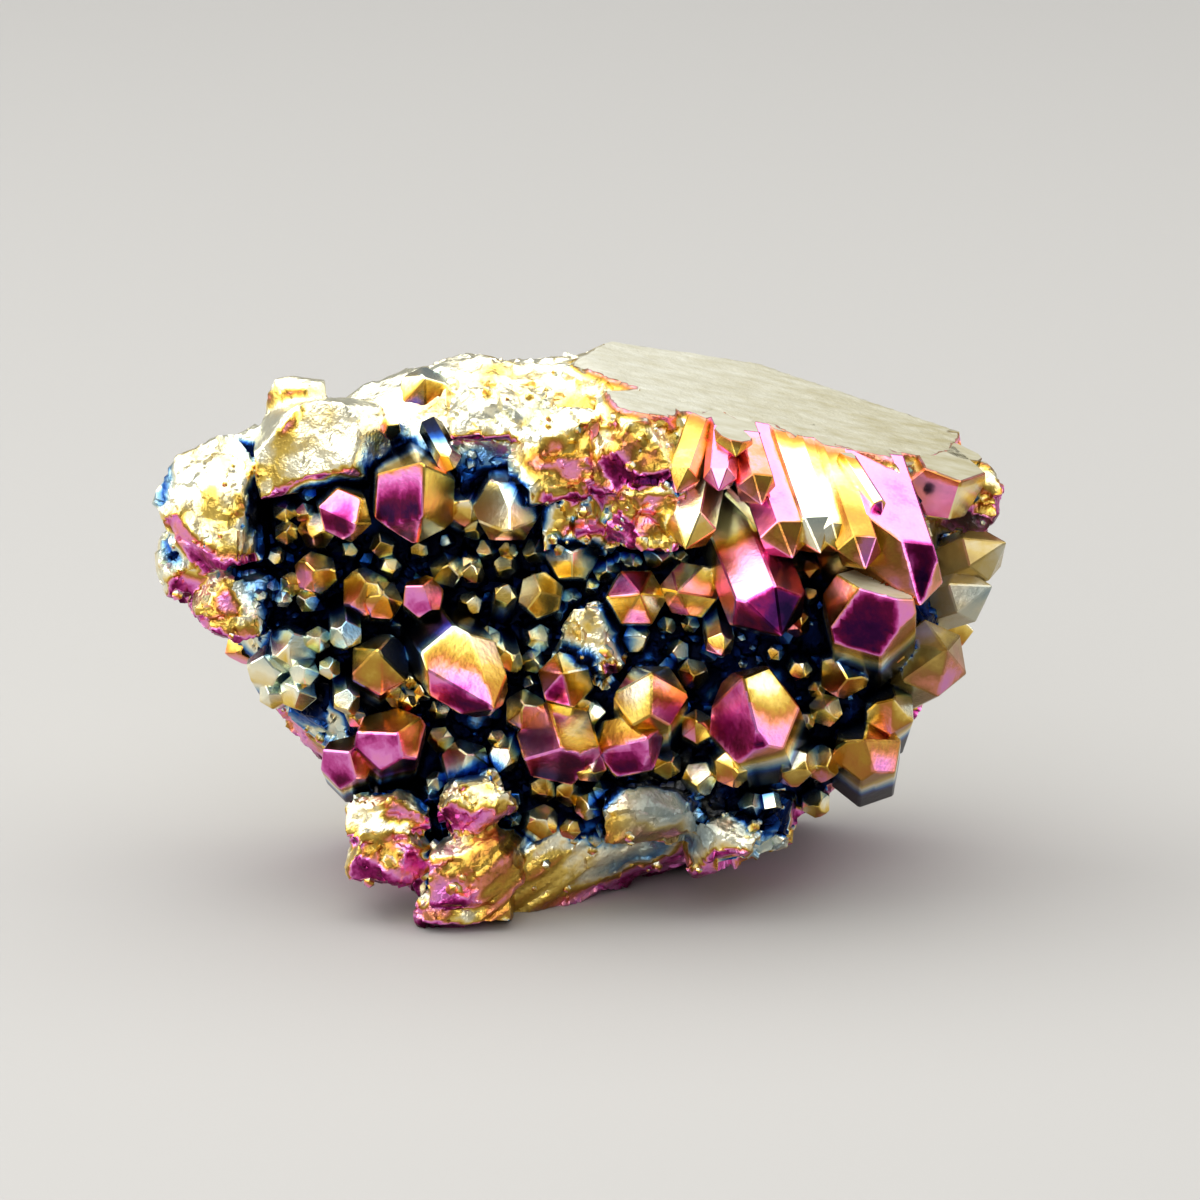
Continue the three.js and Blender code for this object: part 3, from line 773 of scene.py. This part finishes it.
def on_crusts(place, normal):
    """Rough crusts of the front and flanks."""
    if place.z < 2 * MM or normal.y > 0.2 or on_break(place, normal) or smooth_area(place) > 0.3:
        return 0
    top, square = break_plane()
    if (place - top).dot(square) > -1 * MM:
        return 0
    return 1.0 if noise.noise(place / (6 * MM)) > 0.1 else 0.1


def above_field(place):
    """How far a place stands out from the ground that the points grew on, in millimetres."""
    at = place / MM - SHIFT
    return at.dot(OUT) - ROCK_FRONT_OUT_PER_ACROSS * at.x


def in_valleys(place, normal):
    """The low ground between the larger points."""
    if abs(place.x) > 37 * MM or not 4 * MM < place.z < FIELD_TOP * MM:
        return 0
    if not 0.2 < above_field(place) < 3.4 or normal.y > -0.3:
        return 0
    return 0.1 + between(noise.noise(place / (5 * MM)), 0, 0.3)


# ---- the film ----

# How far round a place neighbours shade it from the metal vapour, and how many rays look for them. The
# openness they find thins the film, partly as shelter from the vapour and partly as painted shade: thin film
# is dark navy, so crevices turn dark where shade falls. The rays start a little off the surface, and each is
# turned from the last by the golden angle, in radians.
OPEN_REACH = 9
RAYS = 7
RAY_START = 0.03
GOLDEN_TURN = 2.39996
# The film's thickness in the line along the broken top.
BREAK_RIM_FILM = 0.73
# The height over which the painted shade of the dark valleys ends towards the top, and the height of the
# topmost point in them.
VALLEYS_END = (44, 47)
FIELD_TOP = 46
# Below this the foot is bare, because the piece broke off there.
FOOT_TOP = 0.01


def tree_of(objects):
    verts, faces = [], []
    for o in objects:
        start = len(verts)
        verts.extend(v.co for v in o.data.vertices)
        faces.extend([start + i for i in p.vertices] for p in o.data.polygons)
    return BVHTree.FromPolygons(verts, faces)


def ray_set():
    rays = []
    for i in range(RAYS):
        level = 1 - (i + 0.5) / RAYS * 0.9
        around = i * GOLDEN_TURN
        ring = math.sqrt(1 - level * level)
        rays.append(Vector((ring * math.cos(around), ring * math.sin(around), level)))
    return rays


def openness(mesh, tree):
    """For each vertex, how much of what it faces is open, from 0 in a crevice to 1."""
    rays = ray_set()
    reach = OPEN_REACH * MM
    values = []
    for v, n in zip(mesh.vertices, mesh.vertex_normals):
        up = n.vector
        side = up.orthogonal().normalized()
        third = up.cross(side)
        start = v.co + up * RAY_START * MM
        seen = 0.0
        for ray in rays:
            hit = tree.ray_cast(start, side * ray.x + third * ray.y + up * ray.z, reach)
            seen += 1.0 if hit[0] is None else hit[3] / reach
        values.append(seen / RAYS)
    return smoothed(mesh, values)


def smoothed(mesh, values):
    """Each vertex's value averaged with its neighbours'."""
    total = list(values)
    count = [1] * len(values)
    for e in mesh.edges:
        a, b = e.vertices
        total[a] += values[b]
        total[b] += values[a]
        count[a] += 1
        count[b] += 1
    return [t / c for t, c in zip(total, count)]


def facing_film_and_painted_light(normal):
    """The film that an open face of this direction takes: thin and pale above, thick and dark below. This is
    partly the film's own change with facing and partly painted light: a painted highlight on upper faces and
    painted shade on lower ones.
    """
    aim = 0.68 - 0.24 * normal.dot(UP) - 0.14 * normal.x
    return max(0.4, min(0.92, aim))


def flat_faces(mesh):
    """For each vertex of the points, the number, kind and direction of its largest flat face."""
    best = [(-1, 0, EDGE, None)] * len(mesh.vertices)
    owner = mesh.attributes["number"].data
    kind = mesh.attributes["kind"].data
    for p in mesh.polygons:
        k = int(kind[p.index].value)
        rank = p.area * (0.01 if k == EDGE else 1)
        for i in p.vertices:
            if rank > best[i][0]:
                best[i] = (rank, int(owner[p.index].value), k, p.normal.copy())
    return best


def film_aim(row, kind, place, normal, chance, lower):
    """How thick a film this face of a point takes where nothing shades it. Lower is 0 at the face's top."""
    name, tip, axes, measures = row
    down = (tip - place).dot(axes.col[2]) / MM - measures[0] * math.tan(TIP_SLOPE)
    if name in MAIN_FILM:
        tips, near, far = MAIN_FILM[name]
        if kind < SIDE:
            tone = tips[kind]
            above, below = tone if isinstance(tone, tuple) else (tone - 0.04, tone + 0.05)
            return above + (below - above) * between(lower, 0.08, 0.92)
    else:
        near = facing_film_and_painted_light(normal) * (0.66 + 0.24 * chance) * small_share(tip)
        near = far = near + 0.14 * (lower - 0.5)
        if kind < SIDE:
            return near
    if name.startswith(FUSED):
        return near + (far - near) * between(down, 5, 8)
    # Lower down a loose point's sides the film fades to nothing, dark navy: partly thinner deposit, partly
    # painted shade towards the foot.
    return near * (1 - between(down, -0.5, 5))


def small_share(place):
    """The small points at the left edge took less film, so they are nearly white."""
    middle = placed(from_face(-28.5, 26.5, 0))
    away = math.hypot(place.x - middle.x, place.z - middle.z) / MM
    return 0.7 + 0.3 * between(away, 5.5, 7.5)


def film_on_points(obj, tree, rock_tree, rows):
    mesh = obj.data
    opens = openness(mesh, tree)
    chances = [rng.random() for _ in range(len(rows) * KINDS)]
    film, thin = [], []
    faces = flat_faces(mesh)
    reach = {}
    for v, (_, number, kind, _) in zip(mesh.vertices, faces):
        height = v.co.dot(UP)
        low, high = reach.get((number, kind), (height, height))
        reach[number, kind] = min(low, height), max(high, height)
    for v, o, (_, number, kind, normal) in zip(mesh.vertices, opens, faces):
        row = rows[number]
        chance = chances[number * KINDS + kind]
        low, high = reach[number, kind]
        lower = (high - v.co.dot(UP)) / max(high - low, 0.1 * MM)
        aim = film_aim(row, kind, v.co, normal, chance, lower)
        aim += 0.06 * noise.noise(v.co / (2.6 * MM)) + 0.02 * noise.noise(v.co / (1.1 * MM))
        # The film thins near the rock, so a point darkens towards its foot: partly thinner deposit, partly
        # painted shade.
        height = rock_tree.find_nearest(v.co)[3] / MM + 4 * between(row[1].z / MM, *VALLEYS_END)
        foot = 0.7 if row[0] in MAIN_FILM else 1.2
        grown = 1 if row[0].startswith(FUSED) else 1 - math.exp(-(height / foot) ** 1.5)
        aim += (BREAK_RIM_FILM - aim) * break_rim(v.co)
        # Openness works as painted shade here: the film is up to a sixth thinner where neighbours crowd a
        # place.
        film.append(aim * grown * (0.84 + 0.16 * between(o, 0.05, 0.4)))
        thin.append(1.0 if kind == BROKEN else THIN_FILM.get(row[0], 0.0))
    for _ in range(2):
        film = smoothed(mesh, film)
    write(mesh, film=film, bare=thin)


def break_rim(place):
    """How near a place is to the front edge of the broken top: 1 at the edge, 0 further down."""
    top, square = break_plane()
    return 0.8 - 0.8 * between((top - place).dot(square) / MM, 0.2, 1)


def field_tree(obj, rows):
    """The points whose feet stand in the dark valleys of painted shade, not those grown together with the
    rock.
    """
    owner = obj.data.attributes["number"].data
    verts = [v.co for v in obj.data.vertices]
    faces = []
    for p in obj.data.polygons:
        row = rows[int(owner[p.index].value)]
        if not row[0].startswith(FUSED) and row[1].z < FIELD_TOP * MM:
            faces.append(list(p.vertices))
    return BVHTree.FromPolygons(verts, faces)


def spot_share(place, across, up, reach):
    """1 near a spot on the crystal face, 0 beyond its reach."""
    middle = placed(from_face(across, up, 0))
    away = math.hypot(place.x - middle.x, place.z - middle.z) / MM
    return 1 - between(away, 0.6 * reach, reach)


def patch_shift(place):
    """How much thicker the film is here than elsewhere on the rock."""
    return sum(more * spot_share(place, across, up, reach) for across, up, reach, more in FILM_PATCHES)


def glassy(place):
    """How much of the quartz shows through here."""
    most = 0
    for across, up, reach in GLASSY:
        most = max(most, GLASSY_MOST * spot_share(place, across, up, reach))
    return most


def rock_aim(place, normal, broad, facing):
    """How thick a film open rock takes: thin and pale above, thick and pink to purple on undersides, partly
    the film's own change with facing and partly painted light, a painted highlight on tops and painted shade
    on undersides.
    """
    shift = patch_shift(place)
    under = -0.75 * broad.dot(UP) - 0.25 * normal.dot(UP) + 0.4 * noise.noise(place / (2.8 * MM)) + shift
    under += 0.7 * (1 - facing) * noise.noise(place / (9 * MM))
    aim = 0.43 + 0.44 * between(under, -0.1, 0.95) + 0.08 * noise.noise(place / (4 * MM))
    aim += 0.5 * min(0, shift)
    # The smooth blocks at the upper left are held near pale cream: a painted highlight.
    aim += (0.41 - aim) * 0.6 * smooth_area(place) * (1 - between(under, 0.1, 0.5))
    return aim


def film_on_rock(obj, tree, broad_tree, fields):
    """The film on the rock, with painted shade in crevices, in the valleys and round the feet of the points.
    Broad_tree is the rock without fine relief, fields the points in the valleys.
    """
    mesh = obj.data
    opens = openness(mesh, tree)
    film, bare = [], []
    for v, o in zip(mesh.vertices, opens):
        near = min(t.find_nearest(v.co)[3] for t in fields) / MM + 8 * between(v.co.z / MM, *VALLEYS_END)
        broad = broad_tree.find_nearest(v.co)[1]
        if broad.dot(v.normal) < 0:
            broad = -broad
        facing = between(broad.dot(OUT), 0, 0.45)
        aim = rock_aim(v.co, v.normal, broad, facing)
        fibres = fibrous(v.co)
        if fibres:
            aim += (0.6 + 0.13 * noise.noise(fibre_place(v.co)) - aim) * fibres
        if v.normal.y < 0:
            aim += (BREAK_RIM_FILM - aim) * break_rim(v.co)
        # Painted shade: the low front ground between the points and round their feet takes little film and
        # turns navy-black.
        valley = (1 - between(near, 4, 7)) * (1 - between(above_field(v.co), 2.2, 4)) * facing
        dark = 0.86 - 0.4 * between(noise.noise(v.co / (3.4 * MM)), 0.12, 0.4)
        # Painted shade from openness: crevices take less film and darken, less so near the top.
        shade = between(o, 0.1, 0.5)
        shade += (1 - shade) * 0.75 * between(v.co.z / MM, 42, 45)
        clear = max(fibres, 1 - facing, between(near, 0.3, 1.8))
        film.append(aim * clear * (1 - dark * valley * (1 - fibres)) * shade)
        bare.append(1.0 if v.co.z < FOOT_TOP * MM else max(on_break(v.co, v.normal), glassy(v.co) * facing))
    write(mesh, film=film, bare=bare)


def film_on_grains(obj, tree, share):
    mesh = obj.data
    opens = openness(mesh, tree)
    # Painted light as on the points: facing sets the film, and openness thins it to dark navy in crevices as
    # painted shade.
    film = [facing_film_and_painted_light(v.normal) * share * between(o, 0.1, 0.8) for v, o in zip(mesh.vertices, opens)]
    write(mesh, film=film, bare=[0.0] * len(film))


def write(mesh, **layers):
    """Stores one number a vertex under each name."""
    for name, values in layers.items():
        layer = mesh.attributes.new(name, "FLOAT", "POINT")
        layer.data.foreach_set("value", values)


# ---- materials ----

def colour(hexa):
    """An sRGB hex colour as linear numbers."""
    parts = [int(hexa[i:i + 2], 16) / 255 for i in (1, 3, 5)]
    return tuple(c / 12.92 if c <= 0.04045 else ((c + 0.055) / 1.055) ** 2.4 for c in parts) + (1,)


def add(tree, kind, settings=None, inputs=None):
    """Adds a node with its settings, and its inputs as numbers, colours or links."""
    made = tree.nodes.new(kind)
    for name, value in (settings or {}).items():
        setattr(made, name, value)
    for name, value in (inputs or {}).items():
        if isinstance(value, bpy.types.NodeSocket):
            tree.links.new(value, made.inputs[name])
        else:
            made.inputs[name].default_value = value
    return made


def new_material(name):
    material = bpy.data.materials.new(name)
    material.use_nodes = True
    material.node_tree.nodes.clear()
    return material, material.node_tree


# The film's colours from thinnest to thickest, as the light waves reflected by its two faces meet.
FILM_SERIES = [
    (0.00, "#03050f"), (0.08, "#07163e"), (0.16, "#1b4f9c"), (0.24, "#7cabcc"), (0.33, "#ccdacf"),
    (0.42, "#fff8d8"), (0.50, "#eccb66"), (0.57, "#b8903a"), (0.62, "#b07238"), (0.66, "#ea9070"),
    (0.70, "#f89aba"), (0.76, "#ee8ed6"), (0.81, "#cc509e"), (0.85, "#902062"), (0.89, "#5e1238"),
    (0.94, "#340e38"), (1.00, "#140a26"),
]
SMOKY_QUARTZ = "#4c4b3e"
OLIVE_QUARTZ = "#877c4c"
PALE_BREAK_QUARTZ = "#bebdaf"
PALE_PAPER = "#a3a19d"

# Pattern sizes in millimetres: the clouds and the grain of the film's thickness, the low swells of a natural
# face, and the flow lines on a break, along and across. The depth of the swells and of the grain's dents.
CLOUD_SIZE = 2.2
GRAIN_SIZE = 0.4
SWELL_SIZE = 1.0
FLOW_LINE_LENGTH = 3.2
FLOW_LINE_BREADTH = 1.3
SWELL_DEPTH = 0.4
GRAIN_DEPTH = 0.2

FLOW_LINE_TURN = math.radians(-8)
BROKEN_ROUGHNESS = 0.5
# A place with more bare stone than this is a break. With less, the film lies over smoky quartz.
BREAK_FROM = 0.8


def repeats(size):
    """The pattern scale, in repeats to the metre, of a size in millimetres."""
    return 1 / (size * MM)


def film_colour(tree, thickness):
    ramp = add(tree, "ShaderNodeValToRGB", inputs={"Fac": thickness})
    stops = ramp.color_ramp.elements
    while len(stops) < len(FILM_SERIES):
        stops.new(0.5)
    for stop, (place, hexa) in zip(stops, FILM_SERIES):
        stop.position = place
        stop.color = colour(hexa)
    return ramp.outputs["Color"]


def bare_quartz(tree, place, bare):
    """Broken and smoky quartz. A break is dull with fine flow lines, paler towards the left and olive towards
    the right.
    """
    slope = add(tree, "ShaderNodeMapping", inputs={
        "Vector": place, "Rotation": (0, BREAK_SLOPE, FLOW_LINE_TURN),
        "Scale": (repeats(FLOW_LINE_LENGTH), repeats(FLOW_LINE_BREADTH), repeats(FLOW_LINE_LENGTH)),
    })
    streak = add(tree, "ShaderNodeTexNoise", inputs={
        "Vector": slope.outputs[0], "Scale": 1.0, "Detail": 6.0, "Roughness": 0.62,
    })
    east = add(tree, "ShaderNodeSeparateXYZ", inputs={"Vector": place})
    # The break grows paler towards the left.
    fade = add(tree, "ShaderNodeMapRange", inputs={
        "Value": east.outputs["X"], "From Min": -10 * MM, "From Max": 35 * MM, "To Min": 0.4, "To Max": -0.05,
    })
    paleness = add(tree, "ShaderNodeMath", {"operation": "ADD"}, {0: streak.outputs["Fac"], 1: fade.outputs[0]})
    stone = add(tree, "ShaderNodeValToRGB", inputs={"Fac": paleness.outputs[0]})
    olive, pale_end = stone.color_ramp.elements
    olive.position, olive.color = 0.1, colour(OLIVE_QUARTZ)
    pale_end.position, pale_end.color = 1.0, colour(PALE_BREAK_QUARTZ)
    broken = add(tree, "ShaderNodeMapRange", inputs={"Value": bare, "From Min": BREAK_FROM})
    both = add(tree, "ShaderNodeMix", {"data_type": "RGBA"}, {
        0: broken.outputs[0], 6: colour(SMOKY_QUARTZ), 7: stone.outputs[0],
    })
    return both.outputs[2], broken.outputs[0]


def film_thickness(tree, place, fine, drift, grain):
    """The film's own thickness, with clouds this strong and a grain this strong over it."""
    # The film attribute also holds painted shade in crevices, in valleys and on lower faces, and a painted
    # highlight on upper faces.
    film = add(tree, "ShaderNodeAttribute", {"attribute_name": "film"})
    cloud = add(tree, "ShaderNodeTexNoise", inputs={
        "Vector": place, "Scale": repeats(CLOUD_SIZE), "Detail": 3.0,
    })
    slow = add(tree, "ShaderNodeMath", {"operation": "MULTIPLY_ADD"}, {
        0: cloud.outputs["Fac"], 1: drift, 2: 1 - drift / 2,
    })
    quick = add(tree, "ShaderNodeMath", {"operation": "MULTIPLY_ADD"}, {
        0: fine.outputs["Fac"], 1: grain, 2: -grain / 2,
    })
    both = add(tree, "ShaderNodeMath", {"operation": "ADD"}, {0: slow.outputs[0], 1: quick.outputs[0]})
    thick = add(tree, "ShaderNodeMath", {"operation": "MULTIPLY"}, {
        0: film.outputs["Fac"], 1: both.outputs[0],
    })
    return thick.outputs[0]


def film_bump(tree, place, fine, bump):
    """Low swells, and the grain's dents over them."""
    uneven = add(tree, "ShaderNodeTexNoise", inputs={
        "Vector": place, "Scale": repeats(SWELL_SIZE), "Detail": 3.0,
    })
    swells = add(tree, "ShaderNodeBump", inputs={
        "Height": uneven.outputs["Fac"], "Strength": bump, "Distance": SWELL_DEPTH * MM,
    })
    dents = add(tree, "ShaderNodeBump", inputs={
        "Height": fine.outputs["Fac"], "Strength": bump, "Distance": GRAIN_DEPTH * MM,
        "Normal": swells.outputs[0],
    })
    return dents.outputs["Normal"]


def film_material(name, drift, grain, rough, bump):
    """Quartz under a vapour-laid metal film, which shines and takes its colour from its thickness."""
    material, tree = new_material(name)
    bare = add(tree, "ShaderNodeAttribute", {"attribute_name": "bare"})
    place = add(tree, "ShaderNodeTexCoord").outputs["Object"]
    fine = add(tree, "ShaderNodeTexNoise", inputs={
        "Vector": place, "Scale": repeats(GRAIN_SIZE), "Detail": 2.0,
    })
    tint = film_colour(tree, film_thickness(tree, place, fine, drift, grain))
    stone, broken = bare_quartz(tree, place, bare.outputs["Fac"])
    mixed = add(tree, "ShaderNodeMix", {"data_type": "RGBA"}, {0: bare.outputs["Fac"], 6: tint, 7: stone})
    metal = add(tree, "ShaderNodeMapRange", inputs={
        "Value": bare.outputs["Fac"], "To Min": 1.0, "To Max": 0.0,
    })
    matt = add(tree, "ShaderNodeMapRange", inputs={
        "Value": broken, "To Min": rough, "To Max": BROKEN_ROUGHNESS,
    })
    shader = add(tree, "ShaderNodeBsdfPrincipled", inputs={
        "Base Color": mixed.outputs[2], "Metallic": metal.outputs[0], "Roughness": matt.outputs[0],
        "Normal": film_bump(tree, place, fine, bump),
    })
    add(tree, "ShaderNodeOutputMaterial", inputs={"Surface": shader.outputs[0]})
    return material


def grown_quartz():
    """Natural faces are flat and smooth: the film on them is a satin mirror with soft clouds of colour."""
    return film_material("aura_film_on_grown_quartz", drift=0.14, grain=0.06, rough=0.24, bump=0.07)


def broken_quartz():
    """Broken rock is uneven and grainy: the film on it is duller and changes colour sooner."""
    return film_material("aura_film_on_broken_quartz", drift=0.22, grain=0.1, rough=0.32, bump=0.4)


def studio_paper():
    """Matt background paper, quite even."""
    material, tree = new_material("pale_studio_paper")
    shader = add(tree, "ShaderNodeBsdfPrincipled", inputs={
        "Base Color": colour(PALE_PAPER), "Roughness": 0.8,
    })
    add(tree, "ShaderNodeOutputMaterial", inputs={"Surface": shader.outputs[0]})
    return material


# ---- camera, light and floor ----

def camera():
    """A long lens, a metre off, square to the crystal face."""
    data = bpy.data.cameras.new("Camera")
    data.lens = 300
    data.sensor_width = 36
    made = bpy.data.objects.new("Camera", data)
    bpy.context.scene.collection.objects.link(made)
    made.location = placed(from_face(1.3, 31.8, 5)) + OUT
    made.rotation_euler = OUT.to_track_quat("Z", "Y").to_euler()
    bpy.context.scene.camera = made


def softbox(name, place, aim, size, radiance):
    """A square soft light. Its brightness as seen from the object is the radiance."""
    data = bpy.data.lights.new(name, "AREA")
    data.shape = "SQUARE"
    data.size = size
    data.energy = radiance * math.pi * size * size
    made = bpy.data.objects.new(name, data)
    bpy.context.scene.collection.objects.link(made)
    made.visible_camera = False
    made.location = place
    made.rotation_euler = (Vector(place) - Vector(aim)).to_track_quat("Z", "Y").to_euler()


def studio():
    world = bpy.data.worlds.new("Studio")
    bpy.context.scene.world = world
    world.use_nodes = True
    colour_in, strength_in = world.node_tree.nodes["Background"].inputs[:2]
    colour_in.default_value = colour("#d8dade")
    strength_in.default_value = 0.32
    softbox("Overhead", (0, 0.08, 0.6), (0, 0, 0.02), 1.0, 2.3)
    softbox("Front", (-0.12, -0.55, 0.42), (0, 0, 0.03), 0.45, 3.0)
    softbox("Left", (-0.6, 0.05, 0.35), (0, 0, 0.03), 0.8, 2.4)
    softbox("Right", (0.6, 0.05, 0.3), (0, 0, 0.03), 0.6, 1.6)
    bm = bmesh.new()
    bmesh.ops.create_grid(bm, x_segments=2, y_segments=2, size=3.0)
    floor = object_of("floor", bm)
    floor.data.materials.append(studio_paper())


# ---- the whole ----

def dressed(piece, material):
    """Gives a piece its material and the body it rides on, and hides the solid model's part."""
    piece.data.materials.clear()
    piece.data.materials.append(material)
    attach(piece, "root")
    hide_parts("quartz_cluster")


def main():
    body, broad_tree = rock()
    rock_tree = tree_of([body])
    crust = druse(rock_tree, 260, on_crusts, 0.2, 0.7, "crust_grains")
    grains = druse(rock_tree, 330, in_valleys, 0.35, 1.2, "valley_grains")
    rows = point_rows()
    large = points(rows, lambda row: row[3][0] >= LARGE_RADIUS, "large_points")
    small = points(rows, lambda row: row[3][0] < LARGE_RADIUS, "small_points")
    everything = tree_of([body, crust, grains, large, small])
    film_on_rock(body, everything, broad_tree, [field_tree(large, rows), field_tree(small, rows)])
    film_on_grains(crust, everything, 0.85)
    film_on_grains(grains, everything, 0.68)
    film_on_points(large, everything, rock_tree, rows)
    film_on_points(small, everything, rock_tree, rows)
    on_points, on_rock = grown_quartz(), broken_quartz()
    for piece in (body, crust):
        dressed(piece, on_rock)
    for piece in (grains, large, small):
        dressed(piece, on_points)


bpy.context.scene.view_settings.view_transform = "Standard"
camera()
studio()
main()
